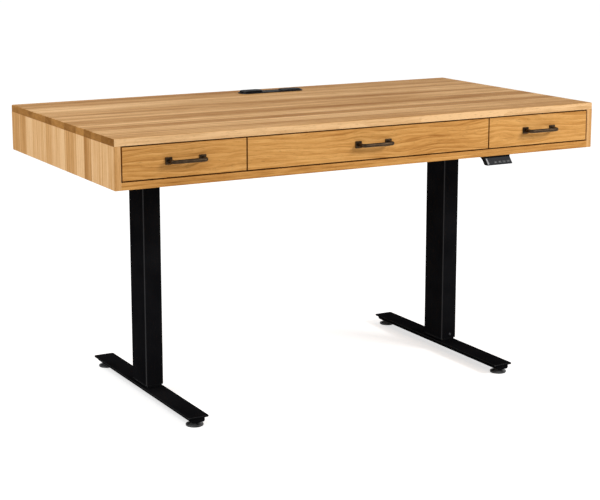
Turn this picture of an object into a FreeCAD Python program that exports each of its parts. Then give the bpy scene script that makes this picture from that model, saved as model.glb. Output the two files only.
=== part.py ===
import FreeCAD, Part
import math
import os

# Electric standing desk: an oak case with three drawers, carried on two lifting columns
# Millimetres; X to the right, Y to the back, Z up; origin on the floor under the middle

# Overall size, with the columns fully lowered
desk_width = 1524.0
desk_depth = 787.0
desk_height = 817.0

# Boards of the case
top_thickness = 20.0
side_thickness = 18.0
bottom_thickness = 20.0
back_thickness = 18.0
divider_thickness = 18.0
opening_height = 93.0
centre_bay = 776.0
top_edge = 3.0
eased_edge = 1.6
seam_edge = 0.6

# Drawer fronts and boxes
front_thickness = 20.0
front_gap = 3.5
divider_gap = 1.5
drawer_to_power = 118.5
box_board = 12.0
box_height = 66.0
box_lift = 8.0
bottom_board = 6.0
bottom_rise = 9.0
groove_depth = 6.0
joint_clearance = 0.1

# Dovetails at the drawer corners
front_tails = 3
back_tails = 2
tail_depth = 12.0
tail_tip = 16.0
tail_root = 11.0

# Steel drawer slides
slide_space = 12.7
slide_short_of_back = 36.0
slide_height = 35.0
slide_steel = 1.5
slide_flange = 11.0
slide_set_back = 4.0
running_clearance = 0.3

# Drawer pulls
pull_centres = 96.0
pull_block = 19.0
pull_block_depth = 4.0
pull_block_edge = 0.8
pull_bar = 8.0
pull_reach = 30.0
pull_bend = 8.0

# T-shaped feet
column_inset = 254.0
column_from_front = 406.5
foot_length = 688.0
foot_width = 63.0
foot_plate = 4.0
foot_corner = 6.0
foot_edge = 1.0
channel_width = 41.0
channel_height = 14.0
channel_wall = 2.5
channel_corner = 6.0
channel_set_in = 6.0
channel_end_slit = 1.5

# Levelling glides
glide_inset = 28.0
glide_disc = 49.0
glide_disc_height = 5.5
glide_rim = 2.0
glide_cone_height = 4.5
glide_collar = 22.0
glide_collar_height = 3.0
glide_stem = 10.0
glide_stem_length = 13.0
glide_boss = 20.0
glide_key_hole = 7.0

# Three-stage lifting columns
tube_width = 55.0
tube_depth = 102.0
tube_wall = 2.0
tube_corner = 6.0
stage_gap = 1.75
stage_step = 5.0
middle_drop = 34.0
inner_drop = 24.0
ring_length = 36.0
ring_fit = 0.05
ring_lip = 1.5
ring_lip_set_in = 1.0

# Lifting screws inside the columns
screw = 12.0
screw_bore = 13.0
hollow_screw = 20.0
screw_foot_gap = 30.0
bearing_plate = 8.0
nut_height = 24.0
screw_clearance = 0.3

# Lift frame under the case
bracket_plate = 4.0
bracket_width = 70.0
bracket_length = 640.0
bracket_fold = 14.0
bracket_fold_slope = 20.0
bracket_corner = 8.0
rail_height = 40.0
rail_flange = 22.0
rail_steel = 2.5
rail_overhang = 30.0
rail_slot = 7.0
rail_slot_length = 30.0
rail_slot_pitch = 60.0
rail_slots = 3

# Gear motors beside the column heads
gearbox_length = 62.0
gearbox_width = 84.0
gearbox_height = 54.0
gearbox_edge = 6.0
motor_diameter = 46.0
motor_length = 92.0
motor_cap_step = 3.0
motor_cap_length = 10.0

# Control box
control_length = 250.0
control_width = 104.0
control_height = 34.0
control_edge = 5.0
control_from_rail = 60.0
inlet_width = 27.0
inlet_height = 20.0
inlet_recess = 2.0
inlet_from_end = 45.0
port_width = 12.0
port_height = 9.0
port_pitch = 30.0
ports = 3

# Handset under the front edge
handset_from_end = 342.0
handset_width = 89.0
handset_lean = 39.8
handset_face_height = 23.4
handset_face_plate = 2.0
handset_face_edge = 0.7
handset_body = 11.0
handset_flange_depth = 46.0
handset_flange = 5.0
handset_corner = 3.0
handset_neck = 8.0
handset_frame = 1.2

# Handset keys
key_width = 12.0
key_height = 8.0
key_corner = 2.0
key_proud = 0.9
key_depth = 2.4
key_travel = 0.8
key_clearance = 0.35
key_pitch = 15.0
key_count = 4
key_first = -14.0
key_rise = 7.5

# Power unit near the back edge of the top
power_x = 54.5
power_length = 218.0
power_width = 50.0
power_from_back = 108.5
power_lip = 3.0
power_corner = 20.0
power_edge = 1.2
power_wall = 8.0
power_depth = 48.0
cut_out_clearance = 1.0
socket_block_length = 71.0
socket_block_width = 40.0
socket_left_rise = 9.0
socket_right_rise = 6.5
socket_block_edge = 2.2
socket_block_corner = 15.0
socket_spacing = 136.5
mains_pitch = 37.0
blade_slot = 2.2
blade_height = 8.0
blade_spacing = 12.7
earth_hole = 5.0
earth_drop = 11.0
socket_hole_depth = 6.0
data_port_length = 9.0
data_port_width = 3.2
data_port_corner = 1.4
data_port_pitch = 17.0
data_ports = 3

# Places worked out from the sizes above
pull_projection = pull_reach + pull_bar / 2
front_y = (pull_projection - desk_depth) / 2
back_y = front_y + desk_depth
under_top_z = desk_height - top_thickness
floor_board_z = under_top_z - opening_height
case_bottom_z = floor_board_z - bottom_thickness
inner_half = desk_width / 2 - side_thickness
column_x = desk_width / 2 - column_inset
column_y = front_y + column_from_front
channel_bottom_z = glide_disc_height + glide_cone_height + glide_collar_height
plate_bottom_z = channel_bottom_z + channel_height
plate_top_z = plate_bottom_z + foot_plate
bracket_bottom_z = case_bottom_z - bracket_plate
handset_x = desk_width / 2 - handset_from_end

# Allowances for modelling: how far a cut runs past a face, how close counts as touching
overshoot = 1.0
touch = 1e-4
arc_middle = math.sqrt(0.5)

pieces = {}


# Helper shapes

def vec(x, y, z):
    return FreeCAD.Vector(x, y, z)


def block(x0, x1, y0, y1, z0, z1):
    return Part.makeBox(x1 - x0, y1 - y0, z1 - z0, vec(x0, y0, z0))


def polygon_prism(points, direction):
    face = Part.Face(Part.makePolygon(points + points[:1]))
    return face.extrude(direction)


def rounded_face(width, depth, radius, z):
    plate = block(-width / 2, width / 2, -depth / 2, depth / 2, z, z + overshoot)
    rounded = plate.makeFillet(radius, edges_where(plate, lambda b: b.ZLength > touch))
    return [face for face in rounded.Faces if at(face.CenterOfMass.z, z)][0]


def rounded_bar(width, depth, radius, z0, z1):
    return rounded_face(width, depth, radius, z0).extrude(vec(0, 0, z1 - z0))


def square_tube(width, depth, radius, wall, z0, z1):
    outside = rounded_bar(width, depth, radius, z0, z1)
    inside = rounded_bar(width - 2 * wall, depth - 2 * wall, radius - wall, z0, z1)
    return outside.cut(inside)


def moved(shape, x, y, z):
    copy = shape.copy()
    copy.translate(vec(x, y, z))
    return copy


def mirrored(shape):
    return shape.mirror(vec(0, 0, 0), vec(1, 0, 0))


def group(shapes):
    return Part.makeCompound(shapes)


def edges_where(shape, test):
    return [edge for edge in shape.Edges if test(edge.BoundBox)]


def soften(board, radius, test):
    return board.makeFillet(radius, edges_where(board, test))


def at(value, target):
    return abs(value - target) < touch


def flat_at(low, high, target):
    return at(low, target) and at(high, target)


# Feet: a flat plate welded on a shallow channel with folded ends, and threaded bosses for the glides

def glide_places():
    reach = foot_length / 2 - glide_inset
    return (column_y - reach, column_y + reach)


def foot():
    plate = rounded_bar(foot_width, foot_length, foot_corner, plate_bottom_z, plate_top_z)
    plate = soften(plate, foot_edge, lambda b: flat_at(b.ZMin, b.ZMax, plate_top_z))
    half = channel_width / 2
    run = foot_length / 2 - channel_set_in
    outside = block(-half, half, -run, run, channel_bottom_z, plate_bottom_z)
    outside = soften(
        outside,
        channel_corner,
        lambda b: flat_at(b.ZMin, b.ZMax, channel_bottom_z) and b.YLength > foot_width,
    )
    inner_half_width = half - channel_wall
    floor = channel_bottom_z + channel_wall
    hollow_run = run - channel_wall
    inside = block(-inner_half_width, inner_half_width, -hollow_run, hollow_run, floor, plate_bottom_z)
    inside = soften(
        inside,
        channel_corner - channel_wall,
        lambda b: flat_at(b.ZMin, b.ZMax, floor) and b.YLength > foot_width,
    )
    slit_z = plate_bottom_z - channel_end_slit
    end_slits = block(-inner_half_width, inner_half_width, -run, run, slit_z, plate_bottom_z)
    body = plate.fuse(outside.cut(inside.fuse(end_slits)))
    bore = glide_stem / 2 + running_clearance
    for y in glide_places():
        place = vec(0, y - column_y, channel_bottom_z + channel_wall / 2)
        body = body.fuse(Part.makeCylinder(glide_boss / 2, plate_bottom_z - place.z, place))
    for y in glide_places():
        low = vec(0, y - column_y, channel_bottom_z - overshoot)
        body = body.cut(Part.makeCylinder(bore, plate_bottom_z - low.z, low))
        body = body.cut(Part.makeCylinder(glide_key_hole / 2, plate_top_z - low.z + overshoot, low))
    return moved(body.removeSplitter(), 0, column_y, 0)


def levelling_glide():
    disc = glide_disc / 2
    collar = glide_collar / 2
    stem = glide_stem / 2
    neck = glide_disc_height + glide_cone_height
    top = neck + glide_collar_height
    shoulder = glide_disc_height - glide_rim
    bulge = glide_rim * (1 - arc_middle)
    lower = Part.makePolygon([
        vec(0, 0, 0),
        vec(disc - glide_rim / 2, 0, 0),
        vec(disc, 0, glide_rim / 2),
        vec(disc, 0, shoulder),
    ])
    rim = Part.Arc(
        vec(disc, 0, shoulder),
        vec(disc - bulge, 0, glide_disc_height - bulge),
        vec(disc - glide_rim, 0, glide_disc_height),
    ).toShape()
    upper = Part.makePolygon([
        vec(disc - glide_rim, 0, glide_disc_height),
        vec(collar, 0, neck),
        vec(collar, 0, top),
        vec(stem, 0, top),
        vec(stem, 0, top + glide_stem_length),
        vec(0, 0, top + glide_stem_length),
        vec(0, 0, 0),
    ])
    profile = Part.Wire(lower.Edges + [rim] + upper.Edges)
    return Part.Face(profile).revolve(vec(0, 0, 0), vec(0, 0, 1), 360)


for side, x in (("left", -column_x), ("right", column_x)):
    pieces[side + "_foot"] = moved(foot(), x, 0, 0)
    for end, y in zip(("front", "back"), glide_places()):
        pieces[side + "_" + end + "_glide"] = moved(levelling_glide(), x, y, 0)


# Lifting columns: the widest tube hangs from the case, the narrowest stands on the foot

stage_inset = tube_wall + stage_gap
outer_bottom_z = plate_top_z + 2 * stage_step
middle_bottom_z = plate_top_z + stage_step
outer_top_z = bracket_bottom_z
middle_top_z = outer_top_z - middle_drop
inner_top_z = middle_top_z - inner_drop


def stage_size(stage):
    inset = stage * stage_inset
    return tube_width - 2 * inset, tube_depth - 2 * inset, tube_corner - inset / 2


def stage_tube(stage, z0, z1):
    width, depth, corner = stage_size(stage)
    return square_tube(width, depth, corner, tube_wall, z0, z1)


def ring(outer_stage, inset_out, inset_in, z0, z1):
    width, depth, corner = stage_size(outer_stage)
    outside = rounded_bar(width - 2 * inset_out, depth - 2 * inset_out, corner - tube_wall, z0, z1)
    inside = rounded_bar(width - 2 * inset_in, depth - 2 * inset_in, corner - stage_inset / 2, z0, z1)
    return outside.cut(inside)


def lower_ring(outer_stage, end_z):
    inside = stage_inset - running_clearance
    sleeve = ring(outer_stage, tube_wall + ring_fit, inside, end_z, end_z + ring_length)
    lip = ring(outer_stage, ring_lip_set_in, inside, end_z - ring_lip, end_z)
    return sleeve.fuse(lip).removeSplitter()


def upper_ring(outer_stage, end_z):
    outside = tube_wall + running_clearance
    return ring(outer_stage, outside, stage_inset - ring_fit, end_z - ring_length, end_z)


def column_pair(shape):
    return group([moved(shape, x, column_y, 0) for x in (-column_x, column_x)])


def filled_bore(stage, z0, z1):
    width, depth, corner = stage_size(stage)
    wall = 2 * (tube_wall + ring_fit)
    return rounded_bar(width - wall, depth - wall, corner - tube_wall, z0, z1)


def drive_screw():
    low = plate_top_z + screw_foot_gap
    plate = filled_bore(0, outer_top_z - bearing_plate, outer_top_z)
    return plate.fuse(Part.makeCylinder(screw / 2, outer_top_z - low, vec(0, 0, low))).removeSplitter()


def hollow_drive_screw():
    low = plate_top_z + screw_foot_gap
    plate = filled_bore(1, middle_top_z - bearing_plate, middle_top_z)
    shaft = Part.makeCylinder(hollow_screw / 2, middle_top_z - low, vec(0, 0, low))
    bore = Part.makeCylinder(screw_bore / 2, middle_top_z - low, vec(0, 0, low))
    return plate.fuse(shaft).cut(bore).removeSplitter()


def screw_nut():
    low = inner_top_z - nut_height
    bore = Part.makeCylinder(hollow_screw / 2 + screw_clearance, nut_height, vec(0, 0, low))
    return filled_bore(2, low, inner_top_z).cut(bore)


stages = (
    ("outer", outer_bottom_z, outer_top_z),
    ("middle", middle_bottom_z, middle_top_z),
    ("inner", plate_top_z, inner_top_z),
)
for stage, (name, low, high) in enumerate(stages):
    tube = stage_tube(stage, low, high)
    pieces["left_" + name + "_tube"] = moved(tube, -column_x, column_y, 0)
    pieces["right_" + name + "_tube"] = moved(tube, column_x, column_y, 0)

pieces["outer_tube_rings"] = column_pair(lower_ring(0, outer_bottom_z))
middle_rings = [lower_ring(1, middle_bottom_z), upper_ring(0, middle_top_z)]
pieces["middle_tube_rings"] = group([column_pair(shape) for shape in middle_rings])
pieces["inner_tube_rings"] = column_pair(upper_ring(1, inner_top_z))
pieces["drive_screws"] = column_pair(drive_screw())
pieces["hollow_screws"] = column_pair(hollow_drive_screw())
pieces["screw_nuts"] = column_pair(screw_nut())


# Lift frame: two rails clasp the column heads, two brackets bolt the case down

def side_bracket():
    half = bracket_length / 2
    plate = rounded_bar(bracket_width, bracket_length, bracket_corner, bracket_bottom_z, case_bottom_z)
    start = tube_depth / 2 + rail_flange + bracket_fold_slope / 2
    stop = half - bracket_corner
    low = bracket_bottom_z - bracket_fold
    edge = bracket_width / 2
    folds = []
    for way in (-1, 1):
        outline = [
            vec(edge - bracket_plate, way * start, bracket_bottom_z),
            vec(edge - bracket_plate, way * (start + bracket_fold_slope), low),
            vec(edge - bracket_plate, way * (stop - bracket_fold_slope), low),
            vec(edge - bracket_plate, way * stop, bracket_bottom_z),
        ]
        fold = polygon_prism(outline, vec(bracket_plate, 0, 0))
        folds += [fold, mirrored(fold)]
    return plate.multiFuse(folds).removeSplitter()


def cross_rail():
    half = column_x + tube_width / 2 + rail_overhang
    low = bracket_bottom_z - rail_height
    outside = block(-half, half, -rail_flange, 0, low, bracket_bottom_z)
    roof = bracket_bottom_z - rail_steel
    hollow = block(-half, half, -rail_flange, -rail_steel, low + rail_steel, roof)
    rail = outside.cut(hollow)
    middle = low + rail_height / 2
    reach = rail_slot_length / 2 - rail_slot / 2
    for k in range(rail_slots):
        for way in (-1, 1):
            centre = way * (column_x - tube_width - (k + 1) * rail_slot_pitch)
            slot = block(
                centre - reach,
                centre + reach,
                -rail_flange,
                rail_steel,
                middle - rail_slot / 2,
                middle + rail_slot / 2,
            )
            for end in (-reach, reach):
                start = vec(centre + end, -rail_flange, middle)
                length = rail_flange + rail_steel
                slot = slot.fuse(Part.makeCylinder(rail_slot / 2, length, start, vec(0, 1, 0)))
            rail = rail.cut(slot)
    return rail.removeSplitter()


def gear_motor():
    top = bracket_bottom_z
    start = column_x - tube_width / 2
    end = start - gearbox_length
    wide = gearbox_width / 2
    gearbox = block(end, start, -wide, wide, top - gearbox_height, top)
    gearbox = soften(gearbox, gearbox_edge, lambda b: at(b.XMin, end))
    middle = top - gearbox_height / 2
    can = Part.makeCylinder(motor_diameter / 2, motor_length, vec(end, 0, middle), vec(-1, 0, 0))
    cap_start = end - motor_length
    cap = Part.makeCone(
        motor_diameter / 2 + motor_cap_step,
        motor_diameter / 2 - motor_cap_step,
        motor_cap_length,
        vec(cap_start, 0, middle),
        vec(-1, 0, 0),
    )
    return moved(gearbox.multiFuse([can, cap]).removeSplitter(), 0, column_y, 0)


def control_box():
    start = column_y + tube_depth / 2 + rail_flange + control_from_rail
    half = control_length / 2
    low = case_bottom_z - control_height
    box = block(-half, half, start, start + control_width, low, case_bottom_z)
    box = soften(box, control_edge, lambda b: at(b.ZMin, low))
    end = start + control_width
    middle = case_bottom_z - control_height / 2
    inlet_x = half - inlet_from_end - inlet_width / 2
    sockets = [(inlet_x, inlet_width, inlet_height)]
    for k in range(ports):
        sockets.append((k * port_pitch - half + inlet_from_end, port_width, port_height))
    for x, width, height in sockets:
        recess = block(
            x - width / 2,
            x + width / 2,
            end - inlet_recess,
            end,
            middle - height / 2,
            middle + height / 2,
        )
        box = box.cut(recess)
    return box


bracket = side_bracket()
pieces["left_side_bracket"] = moved(bracket, -column_x, column_y, 0)
pieces["right_side_bracket"] = moved(bracket, column_x, column_y, 0)
rail = cross_rail()
pieces["front_cross_rail"] = moved(rail, 0, column_y - tube_depth / 2, 0)
turned = rail.copy()
turned.rotate(vec(0, 0, 0), vec(0, 0, 1), 180)
pieces["back_cross_rail"] = moved(turned, 0, column_y + tube_depth / 2, 0)
pieces["right_gear_motor"] = gear_motor()
pieces["left_gear_motor"] = mirrored(gear_motor())
pieces["control_box"] = control_box()


# Case: boards butted together, the top lying over the sides

half_width = desk_width / 2
cut_length = power_length - 2 * power_wall
cut_width = power_width - 2 * power_wall
power_y = back_y - power_from_back + power_width / 2


def top_panel():
    board = block(-half_width, half_width, front_y, back_y, under_top_z, desk_height)
    board = soften(board, top_edge, lambda b: at(b.ZMax, desk_height))
    board = soften(board, seam_edge, lambda b: flat_at(b.ZMin, b.ZMax, under_top_z))
    low = under_top_z - overshoot
    hole = rounded_bar(cut_length, cut_width, power_corner / 2, low, desk_height + overshoot)
    return board.cut(moved(hole, power_x, power_y, 0))


def side_panel():
    board = block(inner_half, half_width, front_y, back_y, case_bottom_z, under_top_z)
    board = soften(
        board,
        eased_edge,
        lambda b: flat_at(b.XMin, b.XMax, half_width) and not flat_at(b.ZMin, b.ZMax, under_top_z),
    )
    return soften(
        board,
        seam_edge,
        lambda b: flat_at(b.ZMin, b.ZMax, under_top_z) and b.XMin > inner_half + touch,
    )


def bottom_panel():
    board = block(-inner_half, inner_half, front_y, back_y, case_bottom_z, floor_board_z)
    return soften(board, seam_edge, lambda b: at(b.YMax, front_y) and b.XLength > bottom_thickness)


divider_front = front_y + front_thickness + divider_gap
back_panel_y = back_y - back_thickness
pieces["top_panel"] = top_panel()
pieces["right_side_panel"] = side_panel()
pieces["left_side_panel"] = mirrored(side_panel())
pieces["bottom_panel"] = bottom_panel()
pieces["back_panel"] = block(-inner_half, inner_half, back_panel_y, back_y, floor_board_z, under_top_z)
divider = block(
    (centre_bay - divider_thickness) / 2,
    (centre_bay + divider_thickness) / 2,
    divider_front,
    back_panel_y,
    floor_board_z,
    under_top_z,
)
pieces["right_divider"] = divider
pieces["left_divider"] = mirrored(divider)


# Drawers: dovetailed boxes with a grooved-in bottom, on steel slides

box_low = floor_board_z + box_lift
box_high = box_low + box_height
box_front = front_y + front_thickness
box_back = back_y - power_from_back - drawer_to_power
groove_low = box_low + bottom_rise
groove_high = groove_low + bottom_board
back_low = groove_high + joint_clearance
slide_front = box_front + slide_set_back
slide_middle = box_low + box_height / 2


def tails(count, low, high, base_y, way, length, spare):
    pitch = (high - low) / count
    solids = []
    for k in range(count):
        middle = low + pitch * (k + 0.5)
        tip = base_y + way * (length + spare)
        root = tail_root / 2 + spare
        wide = tail_tip / 2 + spare
        outline = [
            vec(0, base_y, middle - root),
            vec(0, tip, middle - wide),
            vec(0, tip, middle + wide),
            vec(0, base_y, middle + root),
        ]
        solids.append(polygon_prism(outline, vec(box_board, 0, 0)))
    return solids


def tails_at_front(spare):
    return tails(front_tails, box_low, box_high, box_front, -1, tail_depth, spare)


def tails_at_back(spare):
    return tails(back_tails, back_low, box_high, box_back - box_board, 1, box_board, spare)


def cut_sockets(board, joint_tails, box_left, box_right):
    for left in (box_left, box_right - box_board):
        board = board.cut(group([moved(shape, left, 0, 0) for shape in joint_tails]))
    return board


def box_side(left, groove_x):
    board = block(0, box_board, box_front, box_back - box_board, box_low, box_high)
    foot_strip = block(0, box_board, box_back - box_board, box_back, box_low, groove_high)
    board = board.multiFuse([foot_strip] + tails_at_front(0) + tails_at_back(0))
    groove = block(
        groove_x,
        groove_x + groove_depth,
        box_front - tail_depth,
        box_back,
        groove_low - joint_clearance,
        groove_high + joint_clearance,
    )
    return moved(board.cut(groove).removeSplitter(), left, 0, 0)


def drawer_front(low_x, high_x, box_left, box_right):
    low = floor_board_z + front_gap
    high = under_top_z - front_gap
    board = block(low_x, high_x, front_y, box_front, low, high)
    board = soften(board, eased_edge / 2, lambda b: at(b.YMax, front_y))
    board = cut_sockets(board, tails_at_front(joint_clearance), box_left, box_right)
    groove = block(
        box_left + box_board - groove_depth,
        box_right - box_board + groove_depth,
        box_front - groove_depth,
        box_front,
        groove_low - joint_clearance,
        groove_high + joint_clearance,
    )
    return board.cut(groove)


def box_back_board(box_left, box_right):
    board = block(box_left, box_right, box_back - box_board, box_back, back_low, box_high)
    return cut_sockets(board, tails_at_back(joint_clearance), box_left, box_right)


def box_bottom(box_left, box_right):
    reach = groove_depth - joint_clearance
    return block(
        box_left + box_board - reach,
        box_right - box_board + reach,
        box_front - reach,
        box_back,
        groove_low,
        groove_high,
    )


def channel(height, flange, way):
    low = slide_middle - height / 2
    high = slide_middle + height / 2
    stop = box_back - slide_short_of_back
    outside = block(0, flange, slide_front, stop, low, high)
    hollow = block(slide_steel, flange, slide_front, stop, low + slide_steel, high - slide_steel)
    shape = outside.cut(hollow)
    return shape if way > 0 else mirrored(shape)


def case_slides(bay_left, bay_right):
    wall_side = channel(slide_height, slide_flange, 1)
    far_side = channel(slide_height, slide_flange, -1)
    return [moved(wall_side, bay_left, 0, 0), moved(far_side, bay_right, 0, 0)]


def drawer_runners(box_left, box_right):
    height = slide_height - 2 * slide_steel - 2 * running_clearance
    flange = slide_space - slide_steel - running_clearance
    left = channel(height, flange, -1)
    right = channel(height, flange, 1)
    return [moved(left, box_left, 0, 0), moved(right, box_right, 0, 0)]


def drawer_pull(middle_x):
    half = pull_centres / 2
    height = (floor_board_z + under_top_z) / 2
    start = -pull_block_depth
    turn = pull_bend * arc_middle
    elbow = pull_reach - pull_bend
    path = Part.Wire([
        Part.LineSegment(vec(-half, start, 0), vec(-half, -elbow, 0)).toShape(),
        Part.Arc(
            vec(-half, -elbow, 0),
            vec(-half + pull_bend - turn, -elbow - turn, 0),
            vec(-half + pull_bend, -pull_reach, 0),
        ).toShape(),
        Part.LineSegment(
            vec(-half + pull_bend, -pull_reach, 0),
            vec(half - pull_bend, -pull_reach, 0),
        ).toShape(),
        Part.Arc(
            vec(half - pull_bend, -pull_reach, 0),
            vec(half - pull_bend + turn, -elbow - turn, 0),
            vec(half, -elbow, 0),
        ).toShape(),
        Part.LineSegment(vec(half, -elbow, 0), vec(half, start, 0)).toShape(),
    ])
    section = Part.Wire([Part.makeCircle(pull_bar / 2, vec(-half, start, 0), vec(0, -1, 0))])
    solid = path.makePipeShell([section], True, False)
    wide = pull_block / 2
    for x in (-half, half):
        foot_block = block(x - wide, x + wide, -pull_block_depth, 0, -wide, wide)
        foot_block = soften(foot_block, pull_block_edge, lambda b: at(b.YMin, -pull_block_depth))
        solid = solid.fuse(foot_block)
    return moved(solid.removeSplitter(), middle_x, front_y, height)


bay_split = centre_bay / 2
half_divider = divider_thickness / 2
half_gap = front_gap / 2
bay_inner = bay_split - half_divider
bay_outer = bay_split + half_divider
front_inner = bay_split - half_gap
front_outer = bay_split + half_gap
front_end = inner_half - front_gap
bays = (
    ("left", -inner_half, -bay_outer, -front_end, -front_outer),
    ("centre", -bay_inner, bay_inner, -front_inner, front_inner),
    ("right", bay_outer, inner_half, front_outer, front_end),
)
fixed_slides = []
for name, bay_left, bay_right, front_left, front_right in bays:
    box_left = bay_left + slide_space
    box_right = bay_right - slide_space
    drawer = name + "_drawer"
    pieces[drawer + "_front"] = drawer_front(front_left, front_right, box_left, box_right)
    left_board = box_side(box_left, box_board - groove_depth)
    right_board = box_side(box_right - box_board, 0)
    pieces[drawer + "_sides"] = group([left_board, right_board])
    pieces[drawer + "_back"] = box_back_board(box_left, box_right)
    pieces[drawer + "_bottom"] = box_bottom(box_left, box_right)
    pieces[drawer + "_runners"] = group(drawer_runners(box_left, box_right))
    pieces[drawer + "_pull"] = drawer_pull((front_left + front_right) / 2)
    fixed_slides += case_slides(bay_left, bay_right)
pieces["case_slides"] = group(fixed_slides)


# Handset: a leaning keypad on a flange under the front edge

def leaned(shape):
    copy = shape.copy()
    copy.rotate(vec(0, 0, 0), vec(1, 0, 0), -handset_lean)
    copy.translate(vec(handset_x, front_y, case_bottom_z - handset_flange))
    return copy


def handset_housing():
    half = handset_width / 2
    front = handset_face_plate
    rear = handset_face_plate + handset_body
    body = leaned(block(-half, half, front, rear, -handset_face_height, handset_flange))
    flange_z = case_bottom_z - handset_flange
    lean = math.radians(handset_lean)
    under_z = flange_z - handset_face_height * math.cos(lean) - handset_face_plate * math.sin(lean)
    level = block(
        handset_x - half,
        handset_x + half,
        front_y - handset_flange_depth,
        front_y + handset_flange_depth,
        under_z,
        case_bottom_z,
    )
    body = body.common(level)
    body = soften(body, handset_corner, lambda b: flat_at(b.ZMin, b.ZMax, under_z) and b.YMin > front_y - touch)
    plate = block(
        handset_x - half,
        handset_x + half,
        front_y + handset_face_plate,
        front_y + handset_flange_depth,
        flange_z,
        case_bottom_z,
    )
    web_y = front_y + handset_body + handset_face_plate
    web = polygon_prism(
        [
            vec(handset_x - half, web_y - handset_neck / 2, flange_z),
            vec(handset_x - half, web_y + handset_neck, flange_z),
            vec(handset_x - half, web_y - handset_neck / 2, flange_z - handset_neck),
        ],
        vec(handset_width, 0, 0),
    )
    housing = body.multiFuse([plate, web]).removeSplitter()
    return housing.cut(key_holes(key_clearance, front, key_depth + key_travel + running_clearance))


def key_places():
    row = -handset_face_height + key_rise
    return [(key_first + k * key_pitch, row) for k in range(key_count)]


def key_solid(spare, y0, y1):
    pad = rounded_bar(key_width + 2 * spare, key_height + 2 * spare, key_corner + spare, 0, y1 - y0)
    pad.rotate(vec(0, 0, 0), vec(1, 0, 0), -90)
    pad.translate(vec(0, y0, 0))
    return pad


def key_holes(spare, y0, y1):
    holes = [moved(key_solid(spare, y0, y1), x, 0, z) for x, z in key_places()]
    return leaned(group(holes))


def handset_face():
    half = handset_width / 2 - handset_frame
    plate = block(-half, half, 0, handset_face_plate, -handset_face_height + handset_frame, 0)
    plate = soften(plate, handset_face_edge, lambda b: at(b.YMax, 0) and b.ZMin < -touch)
    return leaned(plate).cut(key_holes(key_clearance, -key_proud, handset_face_plate))


key_names = ("raise_key", "lower_key", "preset_one_key", "preset_two_key")
for name, (x, z) in zip(key_names, key_places()):
    pad = key_solid(0, -key_proud, key_depth)
    pad = soften(pad, key_proud / 2, lambda b: at(b.YMax, -key_proud))
    pieces[name] = leaned(moved(pad, x, 0, z))
pieces["handset_housing"] = handset_housing()
pieces["handset_face"] = handset_face()


# Power unit: a bezel on the top, two raised socket blocks, a housing below

def power_bezel():
    lip = rounded_bar(power_length, power_width, power_corner, desk_height, desk_height + power_lip)
    lip = soften(lip, power_edge, lambda b: at(b.ZMin, desk_height + power_lip))
    for way in (-1, 1):
        seat = rounded_bar(
            socket_block_length + joint_clearance,
            socket_block_width + joint_clearance,
            socket_block_corner,
            desk_height - overshoot,
            desk_height + power_lip + overshoot,
        )
        lip = lip.cut(moved(seat, way * socket_spacing / 2, 0, 0))
    return moved(lip, power_x, power_y, 0)


def socket_block(rise):
    top = desk_height + rise
    pad = rounded_bar(socket_block_length, socket_block_width, socket_block_corner, desk_height, top)
    return soften(pad, socket_block_edge, lambda b: at(b.ZMin, top)), top


def mains_block():
    pad, top = socket_block(socket_left_rise)
    low = top - socket_hole_depth
    for x in (-mains_pitch / 2, mains_pitch / 2):
        for way in (-1, 1):
            middle = x + way * blade_spacing / 2
            slot = block(
                middle - blade_slot / 2,
                middle + blade_slot / 2,
                0,
                blade_height,
                low,
                top,
            )
            pad = pad.cut(slot)
        earth = vec(x, blade_height - earth_drop - earth_hole / 2, low)
        pad = pad.cut(Part.makeCylinder(earth_hole / 2, socket_hole_depth, earth))
    return moved(pad, -socket_spacing / 2, 0, 0)


def data_block():
    pad, top = socket_block(socket_right_rise)
    low = top - socket_hole_depth
    for k in range(data_ports):
        x = (k - (data_ports - 1) / 2) * data_port_pitch
        port = rounded_bar(data_port_length, data_port_width, data_port_corner, low, top)
        pad = pad.cut(moved(port, x, 0, 0))
    return moved(pad, socket_spacing / 2, 0, 0)


def power_housing():
    spare = 2 * cut_out_clearance
    low = desk_height - power_depth
    body = rounded_bar(cut_length - spare, cut_width - spare, power_corner / 2, low, desk_height)
    body = soften(body, power_edge, lambda b: at(b.ZMax, low))
    return moved(body, power_x, power_y, 0)


pieces["power_bezel"] = power_bezel()
pieces["power_sockets"] = moved(group([mains_block(), data_block()]), power_x, power_y, 0)
pieces["power_housing"] = power_housing()

os.makedirs("parts", exist_ok=True)
for name, shape in pieces.items():
    shape.exportStep("parts/" + name + ".step")
    print(name, len(shape.Solids), "solid", shape.isValid(), round(shape.Volume / 1000, 2), "cm3")
print(len(pieces), "nodes")
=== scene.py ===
# %% [markdown]
# # An electric standing desk in oak
# The desk is a shallow oak case with drawers, carried on a pair of black lifting columns. The
# solids come from the CAD model, and they stay where they are. Here they get their finishes:
# lacquered oak in staves, powder-coated steel, dark bronze and moulded plastic. The small things
# that the solids leave out, such as screw heads, key signs and contacts, are modelled in Blender
# and ride on the CAD bodies. Lengths are in metres and turns in radians, unless a name says
# otherwise.

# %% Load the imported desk
import math
import bpy
import bmesh
from mathutils import Matrix, Vector


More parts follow.
